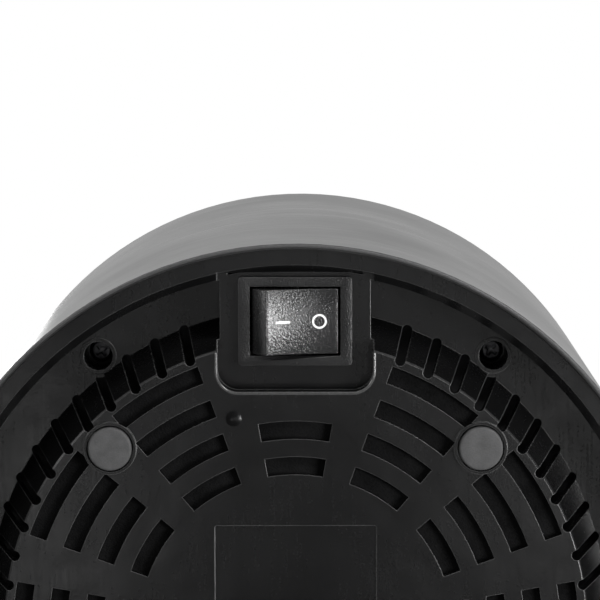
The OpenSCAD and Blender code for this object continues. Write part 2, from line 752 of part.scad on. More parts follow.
// Mains inlet
module inlet_socket() {
    color("#1a1a1a") translate([inlet_face, 0, inlet_z]) rotate([90, 0, 90]) difference() {
        union() {
            linear_extrude(1.5) round_rect(inlet_l, inlet_w, 3);
            translate([0, 0, -inlet_depth]) linear_extrude(inlet_depth + 0.1)
                round_rect(inlet_body_l, inlet_body_w, 1);
        }
        for (x = [-1, 1]) translate([x * inlet_pitch / 2, 0, -14]) cylinder(r = 4.1, h = 20);
        for (x = [-1, 1]) translate([x * inlet_pitch / 2, 0, -inlet_depth - cut])
            cylinder(r = 1.2, h = inlet_depth);
        translate([0, 0, -4]) cube([inlet_pitch, 5, 20], center = true);
    }
}
module inlet_pins() {
    color("#d0d0d0") translate([inlet_face, 0, inlet_z]) rotate([90, 0, 90])
        for (x = [-1, 1]) translate([x * inlet_pitch / 2, 0, -inlet_depth - 5])
            cylinder(r = 1.2, h = inlet_depth + 2, $fn = 32);
}

// Leads, clipped along the inside of the base
module wiring_harness() {
    pin_x = inlet_face - inlet_depth - 5;
    end_z = platform_z + switch_depth + terminal_len + lead_gap;
    low = deck_top + 3;
    board_z = supply_z + board_t + lead_gap;
    bar_x = -core_l / 2 - 1 - lead_gap;
    color("#702020") {
        for (s = [-1, 1]) wire([[pin_x - lead_gap, s * inlet_pitch / 2, inlet_z],
            [pin_x - 3, s * inlet_pitch / 2, inlet_z], [pin_x - 6, s * inlet_pitch / 2, inlet_z],
            [pin_x - 9, 28 + s, 50 + 2 * s],
            [fan_half + 6, fan_half - 6 + s, low + 2 + 2.5 * s],
            [fan_half - 4, fan_half + 6, low + 2 + 2.5 * s],
            [30, switch_y - 8.8 + s, low + 2 + 2.5 * s],
            [7, switch_y + 4 * s, low + 1], [7, switch_y + 4 * s, end_z]], 1);
        for (s = [-1, 1]) wire([[-7, switch_y + 4 * s, end_z], [-7, switch_y + 4 * s, low + 1],
            [-30, switch_y - 8.8 + s, low + 2 + 2.5 * s],
            [4 - fan_half, fan_half + 6, low + 2 + 2.5 * s],
            [-fan_half - 6, fan_half - 6 + s, low + 2 + 2.5 * s],
            [supply_x[1] - 11 + 3 * s, supply_half + 4, supply_z + 9],
            [supply_x[1] - 11 + 3 * s, supply_half - 2.5, board_z + 5],
            [supply_x[1] - 11 + 3 * s, supply_half - 2.5, board_z]], 1);
        wire([[supply_x[1] - 4, -6, board_z], [supply_x[1] - 4, -6, board_z + 5],
            [supply_x[1] + 1, -4, supply_z + 16], [supply_x[1] + 1, 0, heater_top - 6],
            [-fan_half - 2, 0, heater_top - 4], [bar_x - 0.7, 0, heater_top - 5.5],
            [bar_x, 0, core_z + 9], [bar_x, 0, core_z + 6]], 1);
        wire([[supply_x[1] - 10, -18, board_z], [supply_x[1] - 10, -18, board_z + 5],
            [supply_x[1] - 10, -34, supply_z + 9], [-fan_half - 6, 5 - fan_half, supply_z + 4],
            [-fan_half, -fan_half - 5.5, supply_z + 2], [10 - fan_half, -fan_half - 6, supply_z + 2],
            [-38, -fan_half - 16, supply_z + 4], [-30, 6 - board_y + board_t, supply_z + 10],
            [-30, lead_gap - board_y + board_t, supply_z + 10]], 1);
        wire([[-fan_half - lead_gap, -12, fan_top - 2], [-fan_half - 4, -12, fan_top - 2],
            [-fan_half - 6, -13, fan_top - 8], [supply_x[1] - 3, -14, board_z + 5],
            [supply_x[1] - 3, -14, board_z]], 0.8);
    }
}

// Control panel
module control_board() {
    color("#1e5c34") block(-board_half, board_half, -board_y, -board_y + board_t,
        deck_top + 1.2, liner_z - 4);
}
module display_module() {
    color("#20242c") block(-display_half, display_half, -board_y - 5, -board_y,
        lens_z - 1, lens_z + lens_h + 1);
}
module at_buttons() for (x = [-1, 0, 1]) translate([x * button_pitch, 0, button_z]) children();
module tact_switches() {
    color("#101010") at_buttons() {
        block(-3, 3, -board_y - 2.4, -board_y, -3, 3);
        rotate([90, 0, 0]) translate([0, 0, board_y]) cylinder(r = 1.6,
            h = stem_y - board_y - button_travel - 0.2, $fn = 32);
    }
}
module panel_bezel() {
    color("#101012") difference() {
        union() {
            arc(panel_back_r + 0.05, panel_in_r, panel_z - 2, panel_z + panel_h + 2,
                -90 - panel_angle - 2, -90 + panel_angle + 2);
            arc(panel_out_r, panel_back_r, panel_z + 0.1, panel_z + panel_h - 0.1,
                -90 - panel_angle + 0.1, -90 + panel_angle - 0.1);
        }
        arc(panel_out_r + cut, panel_back_r + 0.1, lens_z - 0.1, lens_z + lens_h + 0.1,
            -90 - lens_angle - 0.1, -90 + lens_angle + 0.1);
        arc(panel_out_r, panel_in_r - cut, lens_z + 1, lens_z + lens_h - 1,
            -90 - lens_angle + 1, -90 + lens_angle - 1);
        at_buttons() rotate([90, 0, 0]) cylinder(r = button_d / 2 + 0.2, h = drum_r);
    }
}
module display_lens() {
    color("#06080a") arc(lens_out_r, panel_back_r + 0.1, lens_z, lens_z + lens_h,
        -90 - lens_angle, -90 + lens_angle);
}
// the wall's distance from the XZ plane at a button's place
function wall_y(r, x) = sqrt(pow(r, 2) - pow(x, 2));
module button(x) {
    back = wall_y(panel_in_r, abs(x) + button_d / 2 + 1) - 0.1;
    translate([x, 0, button_z]) rotate([90, 0, 0]) {
        translate([0, 0, back - 1]) cylinder(r = button_d / 2 + 1, h = 1, $fn = 48);
        translate([0, 0, stem_y]) cylinder(r = 2, h = 4, $fn = 48);
        translate([0, 0, back - 0.5])
            cylinder(r = button_d / 2, h = wall_y(drum_r, x) - 0.3 - back, $fn = 48);
        translate([0, 0, wall_y(drum_r, x) - 0.81])
            cylinder(r1 = button_d / 2, r2 = button_d / 2 - 0.6, h = 0.8, $fn = 48);
    }
}
module power_button() color("#b8b8b8") button(button_pitch);
module up_button() color("#b8b8b8") button(0);
module down_button() color("#b8b8b8") button(-button_pitch);

// Spool chamber
module chamber_liner() {
    color("#4c4c50") difference() {
        union() {
            rotate_extrude($fn = 180) polygon([[0, liner_z], [liner_r, liner_z], [liner_r, wall_top],
                [flange_r, wall_top], [flange_r, wall_top + flange_t - 0.5],
                [flange_r - 0.5, wall_top + flange_t], [chamber_r + 0.5, wall_top + flange_t],
                [chamber_r, wall_top + flange_t - 0.5], [chamber_r, chamber_z], [0, chamber_z]]);
            disc(9, chamber_z - 0.1, boss_top - 0.4);
            disc(bearing_bore / 2 + 1.8, chamber_z, boss_top);
        }
        disc(spindle_r + fit_gap / 5, liner_z + 0.6, boss_top + cut);
        for (s = [0 : 7], k = [0 : 2])
            arc(24 + 12 * k, 17 + 12 * k, liner_z - cut, chamber_z + cut, s * 45 + 5, s * 45 + 40);
        at_screws() disc(screw_d / 2, liner_z - cut, chamber_z + cut);
        for (a = outlet_angles) rotate([0, 0, a]) translate([chamber_r - 4, 0, outlet_z])
            rotate([0, 90, 0]) cylinder(r = outlet_r + fit_gap, h = liner_t + 8);
        translate([sensor_x, sensor_y, 0]) for (x = [-3, 0, 3]) translate([x, 0, 0])
            plate(1.4, 6, 0.6, liner_z - cut, chamber_z + cut);
    }
}
module liner_screws() {
    color("#8a8a8a") at_screws() translate([0, 0, chamber_z + 2])
        screw_down(3.2, 2, screw_d / 2 - 0.5, thread_len - 3);
}
module humidity_sensor() {
    color("#e8e8e4") translate([sensor_x, sensor_y, 0]) {
        block(-7, 7, -5, 5, liner_z - 4, liner_z);
        block(-9, 9, -5, 5, liner_z - 5.6, liner_z - 4);
    }
}
module spindle() {
    color("#c4c4c8") rotate_extrude($fn = 64) polygon([[0, liner_z + 0.6], [spindle_r, liner_z + 0.6],
        [spindle_r, bearing_top + 2.4], [spindle_r - 0.8, bearing_top + 3.2], [0, bearing_top + 3.2]]);
}
module bearing_inner_ring() {
    color("#b8b8bc") difference() {
        ring(spindle_r + race_t, spindle_r + fit_gap / 5, boss_top, bearing_top);
        translate([0, 0, boss_top + bearing_w / 2]) rotate_extrude($fn = 96)
            translate([ball_ring_r, 0]) circle(r = ball_r + 0.03, $fn = 40);
    }
}
module bearing_outer_ring() {
    color("#b8b8bc") difference() {
        ring(bearing_d / 2, bearing_d / 2 - race_t, boss_top + 0.1, bearing_top);
        translate([0, 0, boss_top + bearing_w / 2]) rotate_extrude($fn = 96)
            translate([ball_ring_r, 0]) circle(r = ball_r + 0.03, $fn = 40);
    }
}
module bearing_balls() {
    color("#e0e0e4") for (a = [0 : 45 : 315]) rotate([0, 0, a])
        translate([ball_ring_r, 0, boss_top + bearing_w / 2]) sphere(r = ball_r, $fn = 32);
}
module spindle_clip() {
    color("#909094") difference() {
        ring(spindle_r + 2, spindle_r + fit_gap / 5, bearing_top + 0.05, bearing_top + 0.85);
        block(-1.2, 1.2, 0, spindle_r + 3, bearing_top - cut, bearing_top + 2);
    }
}
module turntable() {
    hub_in = bearing_d / 2 + fit_gap / 5;
    color("#d8d8d4") difference() {
        union() {
            disc(table_r, table_z, table_top);
            ring(table_r, table_r - 2, table_z - 2.2, table_z + 0.1);
            disc(hub_in + 3, boss_top + 0.2, bearing_top + 1.2);
            ring(hub_d / 2, hub_d / 2 - 2.5, table_top - 0.1, table_top + hub_h);
            for (a = [0 : 60 : 300]) rotate([0, 0, a])
                block(hub_in + 1, table_r - 1, -1, 1, table_z - 2.2, table_z + 0.1);
            for (a = [0 : 60 : 300]) rotate([0, 0, a])
                block(hub_in + 1, hub_d / 2 - 1, -1, 1, table_top - 0.1, bearing_top + 1);
        }
        disc(hub_in, boss_top - cut - 5, bearing_top);
        disc(hub_in - 2.5, bearing_top - cut, bearing_top + 3);
        for (a = [0 : 60 : 300], r = [table_r - 16, hub_d / 2 + 10 + slot_row])
            arc(r, r - slot_row, table_z - 3, table_top + cut, a + 6, a + 54);
    }
}
module turntable_pads() {
    color("#282828") for (a = [0 : 60 : 300])
        arc(table_r - 4, table_r - 12, table_top, table_top + 1, a + 8, a + 52);
}

// Filament outlets
module filament_outlets() {
    color("#38383c") for (a = outlet_angles) rotate([0, 0, a])
        translate([0, 0, outlet_z]) rotate([0, 90, 0]) difference() {
            union() {
                translate([0, 0, chamber_r - 0.2]) cylinder(r = outlet_r, h = drum_r - chamber_r + 0.3);
                translate([0, 0, drum_r + 0.05]) cylinder(r1 = outlet_flange_r,
                    r2 = outlet_flange_r - 0.8, h = outlet_flange_t);
            }
            translate([0, 0, chamber_r - 2]) cylinder(r = outlet_bore / 2, h = 20);
        }
}
module outlet_plug() {
    face = drum_r + 0.05 + outlet_flange_t;
    color("#505054") rotate([0, 0, outlet_angles[0]]) translate([0, 0, outlet_z]) rotate([0, 90, 0]) {
        translate([0, 0, face - 5]) cylinder(r = outlet_bore / 2 - run_gap, h = 5.2, $fn = 48);
        translate([0, 0, face + 0.1]) cylinder(r = 5.5, h = 1.2, $fn = 48);
        translate([0, 0, face + 1.2]) cylinder(r1 = 4, r2 = 4.6, h = 3, $fn = 48);
    }
}

// Lid
module lid_frame() {
    rest = lid_z;
    seat = window_z;
    color("#1c1c1e") rotate_extrude($fn = 180) polygon([
        [skirt_r, rest], [lid_r - 0.6, rest], [lid_r, rest + 0.6], [lid_r, lid_top - 2.4],
        for (a = [15 : 15 : 90]) [lid_r - 2.4 * (1 - cos(a)), lid_top - 2.4 * (1 - sin(a))],
        [window_r + 1.2, lid_top], [window_r + 0.2, lid_top - 0.6], [window_r + 0.2, seat],
        [window_r - 4, seat], [window_r - 4, seat - 2], [skirt_r - skirt_t, seat - 2],
        [skirt_r - skirt_t, skirt_z], [skirt_r, skirt_z]]);
}
// height of the domed window's underside above its rim
function dome(r) = dome_rise * (1 - pow(r / (window_r - 6), 2));
module lid_window() {
    steps = 10;
    span = window_r - 6 - vent_hole_r;
    rs = [for (i = [0 : steps]) window_r - 6 - span * i / steps];
    color("#9aa4aa80") rotate_extrude($fn = 180) polygon([
        [window_r, window_z], [window_r, window_z + window_t],
        each [for (r = rs) [r, window_z + window_t + dome(r)]],
        each [for (i = [0 : steps]) [rs[steps - i], window_z + dome(rs[steps - i])]]]);
}
module lid_seal() {
    color("#606064") rotate_extrude($fn = 180) polygon([
        [skirt_r, skirt_z + 1.4], [skirt_r + 0.8, skirt_z + 1.6],
        [skirt_r + 1.3, skirt_z + 2.4], [skirt_r + 0.8, skirt_z + 3.2], [skirt_r + 1.3, skirt_z + 4],
        [skirt_r + 0.8, skirt_z + 4.8], [skirt_r, skirt_z + 5]]);
}
module vent_holes(shift) {
    for (i = [0 : dial_holes - 1])
        arc(17.5, 9, window_z - 5, lid_top + 20, i * 2 * dial_sweep + shift + 1,
            i * 2 * dial_sweep + dial_sweep + shift - 1);
}
module vent_base() {
    top_z = window_z + window_t + dome(vent_hole_r);
    color("#1c1c1e") difference() {
        union() {
            disc(dial_r - 0.5, top_z + 0.1, vent_top);
            disc(vent_hole_r - 0.2, window_z + dome(vent_hole_r) - 2, vent_top);
            disc(vent_hole_r + 2, window_z + dome(vent_hole_r) - 2, window_z + dome(vent_hole_r) - 0.2);
            disc(stub_r, vent_top - 0.1, dial_top + 0.1);
        }
        vent_holes(0);
        disc(1.25, window_z, dial_top + 2);
    }
}
module vent_dial() {
    color("#2c2c2e") difference() {
        union() {
            difference() {
                rotate_extrude($fn = 120) polygon([[0, dial_z], [dial_r, dial_z],
                    [dial_r, dial_top - 0.6], [dial_r - 0.6, dial_top], [0, dial_top]]);
                vent_holes(dial_sweep);
            }
            plate(dial_d - 8, 7, 3, dial_top - 0.1, dial_top + grip_h);
            disc(8, dial_top - 0.1, dial_top + grip_h - 1);
        }
        disc(stub_r + run_gap, dial_z - cut, dial_top + 0.2);
        disc(4.2, dial_top + 0.2, dial_top + grip_h + cut);
    }
}
module vent_screw() {
    color("#9a9a9a") translate([0, 0, dial_top + 2.3]) screw_down(3.8, 2, 1.25, 6);
}

outer_shell();
base_pan();
rubber_feet();
base_screws();
switch_housing();
switch_rocker();
rocker_marks();
switch_terminals();
dust_filter();
fan_deck();
fan_frame();
fan_stator();
fan_bearings();
fan_impeller();
fan_magnet_ring();
fan_shaft();
fan_screws();
heater_frame();
heater_bars();
heater_fins();
thermal_fuse();
thermistor();
power_board();
board_screws();
power_transformer();
power_capacitors();
power_relay();
inlet_socket();
inlet_pins();
wiring_harness();
control_board();
display_module();
tact_switches();
panel_bezel();
display_lens();
power_button();
up_button();
down_button();
chamber_liner();
liner_screws();
humidity_sensor();
spindle();
bearing_inner_ring();
bearing_outer_ring();
bearing_balls();
spindle_clip();
turntable();
turntable_pads();
filament_outlets();
outlet_plug();
lid_frame();
lid_window();
lid_seal();
vent_base();
vent_dial();
vent_screw();
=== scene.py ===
import json
import math
import random

import bmesh
import bpy
from mathutils import Matrix, Vector


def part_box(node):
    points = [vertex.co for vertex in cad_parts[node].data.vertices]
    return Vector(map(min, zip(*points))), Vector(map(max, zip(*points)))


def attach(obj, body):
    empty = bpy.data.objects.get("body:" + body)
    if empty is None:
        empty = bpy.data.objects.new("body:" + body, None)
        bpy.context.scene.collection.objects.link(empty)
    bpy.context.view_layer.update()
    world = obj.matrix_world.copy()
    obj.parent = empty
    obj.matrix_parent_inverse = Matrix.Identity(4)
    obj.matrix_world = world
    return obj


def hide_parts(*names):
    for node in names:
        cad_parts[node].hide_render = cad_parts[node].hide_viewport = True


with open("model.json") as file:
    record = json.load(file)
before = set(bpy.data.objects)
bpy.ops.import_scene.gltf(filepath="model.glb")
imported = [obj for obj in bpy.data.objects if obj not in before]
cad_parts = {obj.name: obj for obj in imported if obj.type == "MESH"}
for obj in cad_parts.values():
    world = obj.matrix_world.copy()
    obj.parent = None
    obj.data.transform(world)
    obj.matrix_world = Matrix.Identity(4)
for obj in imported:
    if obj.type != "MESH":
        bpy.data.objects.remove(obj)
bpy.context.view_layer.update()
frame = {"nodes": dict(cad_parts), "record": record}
nodes = frame["nodes"]
bodyOf = {n: b for b, names in frame["record"]["behaviour"]["bodies"].items() for n in names}
slotOf = {s["node"]: s["material_slot"] for s in frame["record"]["subparts"]}
mm = 0.001

print("camera")

cameraLook = {"place": (-0.0081, 0.1834, -0.7975), "right": (-0.99996, 0.0, 0.00838),
              "up": (0.00094, 0.99363, 0.11268), "roll": -0.15, "lens": 175.2}


def addCamera(look):
    right, up = Vector(look["right"]).normalized(), Vector(look["up"]).normalized()
    back = right.cross(up)
    turn = Matrix((right, up, back)).transposed().to_4x4()
    data = bpy.data.cameras.new("viewCamera")
    data.lens, data.sensor_width = look["lens"], 36
    data.clip_start, data.clip_end = 0.05, 20
    cam = bpy.data.objects.new("viewCamera", data)
    bpy.context.scene.collection.objects.link(cam)
    roll = Matrix.Rotation(math.radians(look["roll"]), 4, "Z")
    cam.matrix_world = Matrix.Translation(look["place"]) @ turn @ roll
    bpy.context.scene.camera = cam


addCamera(cameraLook)
bpy.context.scene.view_settings.view_transform = "Standard"

print("stage and light")

worldLook = {"seen": 1.0, "fill": 0.28,  # to the camera and to diffuse rays
             "mirrorHigh": 0.8, "mirrorLow": 0.05, "edgeLow": -0.62, "edgeHigh": -0.12}  # by a reflection's height
floorLook = {"radius": 1.6, "segments": 96, "sink": 0.2 * mm, "color": (0.86, 0.86, 0.86, 1), "glow": 0.30}
white = (1, 1, 1, 1)


def addWorld(look):
    world = bpy.data.worlds.new("studioWorld")
    bpy.context.scene.world = world
    world.use_nodes = True
    tree = world.node_tree
    tree.nodes.clear()
    out = tree.nodes.new("ShaderNodeOutputWorld")
    rays = tree.nodes.new("ShaderNodeLightPath")
    coords = tree.nodes.new("ShaderNodeTexCoord")
    split = tree.nodes.new("ShaderNodeSeparateXYZ")
    height = tree.nodes.new("ShaderNodeMapRange")
    height.interpolation_type = "SMOOTHSTEP"
    height.inputs["From Min"].default_value = look["edgeLow"]
    height.inputs["From Max"].default_value = look["edgeHigh"]
    height.inputs["To Min"].default_value = look["mirrorLow"]
    height.inputs["To Max"].default_value = look["mirrorHigh"]
    fill = tree.nodes.new("ShaderNodeBackground")
    fill.inputs["Strength"].default_value = look["fill"]
    fill.inputs["Color"].default_value = white
    seen = tree.nodes.new("ShaderNodeBackground")
    seen.inputs["Strength"].default_value = look["seen"]
    seen.inputs["Color"].default_value = white
    mirror = tree.nodes.new("ShaderNodeBackground")
    mirror.inputs["Color"].default_value = white
    clear = tree.nodes.new("ShaderNodeMath")
    clear.operation = "MAXIMUM"
    first = tree.nodes.new("ShaderNodeMixShader")
    second = tree.nodes.new("ShaderNodeMixShader")
    tree.links.new(coords.outputs["Generated"], split.inputs[0])
    tree.links.new(split.outputs["Z"], height.inputs["Value"])
    tree.links.new(height.outputs["Result"], mirror.inputs["Strength"])
    tree.links.new(rays.outputs["Is Camera Ray"], clear.inputs[0])
    tree.links.new(rays.outputs["Is Transmission Ray"], clear.inputs[1])
    tree.links.new(rays.outputs["Is Glossy Ray"], first.inputs[0])
    tree.links.new(fill.outputs[0], first.inputs[1])
    tree.links.new(mirror.outputs[0], first.inputs[2])
    tree.links.new(clear.outputs[0], second.inputs[0])
    tree.links.new(first.outputs[0], second.inputs[1])
    tree.links.new(seen.outputs[0], second.inputs[2])
    tree.links.new(second.outputs[0], out.inputs[0])


def addFloor(look):
    mesh = bpy.data.meshes.new("paleFloor")
    bm = bmesh.new()
    bmesh.ops.create_circle(bm, cap_ends=True, segments=look["segments"], radius=look["radius"])
    bmesh.ops.translate(bm, vec=(0, 0, -look["sink"]), verts=bm.verts)
    bm.to_mesh(mesh)
    bm.free()
    floor = bpy.data.objects.new("paleFloor", mesh)
    bpy.context.scene.collection.objects.link(floor)
    mat = bpy.data.materials.new("palePaper")
    mat.use_nodes = True
    tree = mat.node_tree
    tree.nodes.clear()
    out = tree.nodes.new("ShaderNodeOutputMaterial")
    paper = tree.nodes.new("ShaderNodeBsdfDiffuse")
    paper.inputs["Color"].default_value = look["color"]
    glow = tree.nodes.new("ShaderNodeEmission")
    glow.inputs["Strength"].default_value = look["glow"]
    both = tree.nodes.new("ShaderNodeAddShader")
    under = tree.nodes.new("ShaderNodeBsdfTransparent")  # nothing is seen of it from below
    facing = tree.nodes.new("ShaderNodeNewGeometry")
    pick = tree.nodes.new("ShaderNodeMixShader")
    tree.links.new(paper.outputs[0], both.inputs[0])
    tree.links.new(glow.outputs[0], both.inputs[1])
    tree.links.new(facing.outputs["Backfacing"], pick.inputs[0])
    tree.links.new(both.outputs[0], pick.inputs[1])
    tree.links.new(under.outputs[0], pick.inputs[2])
    tree.links.new(pick.outputs[0], out.inputs[0])
    mesh.materials.append(mat)
    floor.visible_shadow = floor.visible_diffuse = floor.visible_glossy = floor.visible_transmission = False


def addSoftLight(name, place, target, size, watts):
    data = bpy.data.lights.new(name, "AREA")
    data.shape, data.size, data.size_y, data.energy = "RECTANGLE", size[0], size[1], watts
    lamp = bpy.data.objects.new(name, data)
    bpy.context.scene.collection.objects.link(lamp)
    aim = (Vector(target) - Vector(place)).normalized()
    lamp.matrix_world = Matrix.Translation(place) @ aim.to_track_quat("-Z", "Y").to_matrix().to_4x4()
    lamp.visible_camera = False


addWorld(worldLook)
addFloor(floorLook)
softLights = {  # place, target, size, watts
    "overheadSoftbox": ((0.4, -0.5, 1.3), (0, 0, 0.1), (1.0, 1.0), 14),
    "frontSoftbox": ((-0.9, -1.0, 0.6), (0, 0, 0.1), (0.9, 0.9), 8),
    "rearSoftbox": ((0.9, 1.1, 0.5), (0, 0, 0.1), (0.9, 0.9), 6),
    "lowRightSoftbox": ((-0.60, 0.0, -0.53), (0, 0.08, 0), (0.22, 0.32), 6.6),
    "upperRightSoftbox": ((-0.50, 0.62, -0.40), (0, 0.05, 0), (0.3, 0.3), 3.4),
    "lowLeftSoftbox": ((0.75, 0.40, -0.32), (0, 0.05, 0), (0.2, 0.6), 1.8),
    "topStrip": ((0.0, 0.95, -0.25), (0, 0.05, 0), (0.9, 0.12), 1.6),
    "leftBounce": ((0.17, -0.12, -0.80), (0.04, 0.05, 0), (0.10, 0.10), 0.13),
    "rightBounce": ((-0.15, -0.10, -0.80), (-0.04, 0.05, 0), (0.10, 0.10), 0.10),
    "topBounce": ((0.0, 0.03, -0.80), (0, 0.08, 0), (0.16, 0.04), 0.06),
}
for lightName, facts in softLights.items():
    addSoftLight(lightName, *facts)

print("materials")

plainLook = {"color": (0.03, 0.03, 0.03), "light": 1.35,  # the dark tone, and how many times lighter the other is
             "rough": 0.5, "roughVary": 0.08, "metallic": 0.0, "specular": 0.5, "coat": 0.0,
             "blotch": 18 * mm, "grain": 0.35 * mm, "depth": 0.02 * mm, "stretch": (1, 1, 1),
             "edge": 0.25 * mm, "wear": 0.25, "wearColor": (0.2, 0.2, 0.2),  # rubbed edges, lightened also as a painted highlight along the edges
             "scuff": 0.0, "streak": 0.0, "wave": 0.0}  # fine lines, drawn streaks, an uneven surface
coatRough = 0.12
scuffLook = {"size": 26 * mm, "detail": 7, "bend": 2.6, "thin": 0.006, "patch": 40 * mm, "roughen": 0.3}
streakLook = {"size": 0.7 * mm, "detail": 3, "stretch": (1, 0.05, 1)}
waveSize = 15 * mm
blotchShare, grainShare = 0.6, 0.4


def startMaterial(name, look):
    mat = bpy.data.materials.new(name)
    mat.use_nodes = True
    tree = mat.node_tree
    tree.nodes.clear()
    out = tree.nodes.new("ShaderNodeOutputMaterial")
    skin = tree.nodes.new("ShaderNodeBsdfPrincipled")
    skin.inputs["Metallic"].default_value = look["metallic"]
    skin.inputs["Specular IOR Level"].default_value = look["specular"]
    skin.inputs["Coat Weight"].default_value = look["coat"]
    skin.inputs["Coat Roughness"].default_value = coatRough
    tree.links.new(skin.outputs[0], out.inputs[0])
    place = tree.nodes.new("ShaderNodeTexCoord").outputs["Object"]
    return mat, tree, skin, place


def noiseOf(tree, place, size, detail=2.0, stretch=(1, 1, 1), distort=0.0):
    mapping = tree.nodes.new("ShaderNodeMapping")
    mapping.inputs["Scale"].default_value = stretch
    grain = tree.nodes.new("ShaderNodeTexNoise")
    grain.inputs["Scale"].default_value = 1 / size
    grain.inputs["Detail"].default_value = detail
    grain.inputs["Distortion"].default_value = distort
    tree.links.new(place, mapping.inputs["Vector"])
    tree.links.new(mapping.outputs[0], grain.inputs["Vector"])
    return grain.outputs["Fac"]


def spread(tree, value, low, high, fromLow=0.3, fromHigh=0.7):
    node = tree.nodes.new("ShaderNodeMapRange")
    for key, number in (("From Min", fromLow), ("From Max", fromHigh), ("To Min", low), ("To Max", high)):
        node.inputs[key].default_value = number
    tree.links.new(value, node.inputs["Value"])
    return node.outputs["Result"]


def combine(tree, a, b, how):
    node = tree.nodes.new("ShaderNodeMath")
    node.operation = how
    for socket, value in zip(node.inputs, (a, b)):
        if isinstance(value, (int, float)):
            socket.default_value = value
        else:
            tree.links.new(value, socket)
    return node.outputs[0]


def tint(tree, factor, dark, light):
    node = tree.nodes.new("ShaderNodeMix")
    node.data_type = "RGBA"
    tree.links.new(factor, node.inputs[0])
    for socket, value in ((node.inputs[6], dark), (node.inputs[7], light)):
        if isinstance(value, tuple):
            socket.default_value = (*value, 1)
        else:
            tree.links.new(value, socket)
    return node.outputs[2]


def bumpOf(tree, height, depth, normal=None):
    node = tree.nodes.new("ShaderNodeBump")
    node.inputs["Distance"].default_value = depth
    tree.links.new(height, node.inputs["Height"])
    if normal is not None:
        tree.links.new(normal, node.inputs["Normal"])
    return node.outputs[0]


def edgeMask(tree, radius):
    edge = tree.nodes.new("ShaderNodeBevel")
    edge.samples = 4
    edge.inputs["Radius"].default_value = radius
    true = tree.nodes.new("ShaderNodeNewGeometry")
    dot = tree.nodes.new("ShaderNodeVectorMath")
    dot.operation = "DOT_PRODUCT"
    tree.links.new(edge.outputs[0], dot.inputs[0])
    tree.links.new(true.outputs["Normal"], dot.inputs[1])
    return edge.outputs[0], spread(tree, dot.outputs["Value"], 1, 0, 0.75, 0.995)


def lighter(color, times):
    return tuple(min(1.0, c * times) for c in color)


def finishSkin(tree, skin, place, look):
    blotch = noiseOf(tree, place, look["blotch"], 4)
    grain = noiseOf(tree, place, look["grain"], 2, look["stretch"])
    both = combine(tree, combine(tree, blotch, blotchShare, "MULTIPLY"),
                   combine(tree, grain, grainShare, "MULTIPLY"), "ADD")
    color = tint(tree, spread(tree, both, 0, 1, 0.35, 0.65), look["color"], lighter(look["color"], look["light"]))
    rough = spread(tree, both, look["rough"] - look["roughVary"], look["rough"] + look["roughVary"], 0.35, 0.65)
    normal = None
    if look["scuff"] > 0:
        lines = noiseOf(tree, place, scuffLook["size"], scuffLook["detail"], distort=scuffLook["bend"])
        thin = combine(tree, combine(tree, lines, 0.5, "SUBTRACT"), 0, "ABSOLUTE")
        patch = spread(tree, noiseOf(tree, place, scuffLook["patch"], 2), 0, 1, 0.5, 0.72)
        marks = combine(tree, spread(tree, thin, 1, 0, 0.0, scuffLook["thin"]), patch, "MULTIPLY")
        marks = combine(tree, marks, look["scuff"], "MULTIPLY")
        color = tint(tree, marks, color, look["wearColor"])
        rough = combine(tree, rough, combine(tree, marks, scuffLook["roughen"], "MULTIPLY"), "ADD")
    if look["edge"] > 0:
        # edges are tinted lighter: partly wear, partly a painted highlight standing in for light caught on rounded
        # edges
        normal, edgeWornAndLit = edgeMask(tree, look["edge"])
        rubbedAndLit = spread(tree, blotch, 0.5 * look["wear"], look["wear"], 0.35, 0.65)
        color = tint(tree, combine(tree, edgeWornAndLit, rubbedAndLit, "MULTIPLY"), color, look["wearColor"])
    if look["streak"] > 0:
        fine = noiseOf(tree, place, streakLook["size"], streakLook["detail"], streakLook["stretch"])
        rough = combine(tree, rough, spread(tree, fine, -look["streak"], look["streak"]), "ADD")
    if look["wave"] > 0:
        normal = bumpOf(tree, noiseOf(tree, place, waveSize, 1), look["wave"], normal)
    tree.links.new(color, skin.inputs["Base Color"])
    tree.links.new(rough, skin.inputs["Roughness"])
    tree.links.new(bumpOf(tree, grain, look["depth"], normal), skin.inputs["Normal"])


def moulded(name, **own):
    look = {**plainLook, **own}
    mat, tree, skin, place = startMaterial(name, look)
    finishSkin(tree, skin, place, look)
    return mat


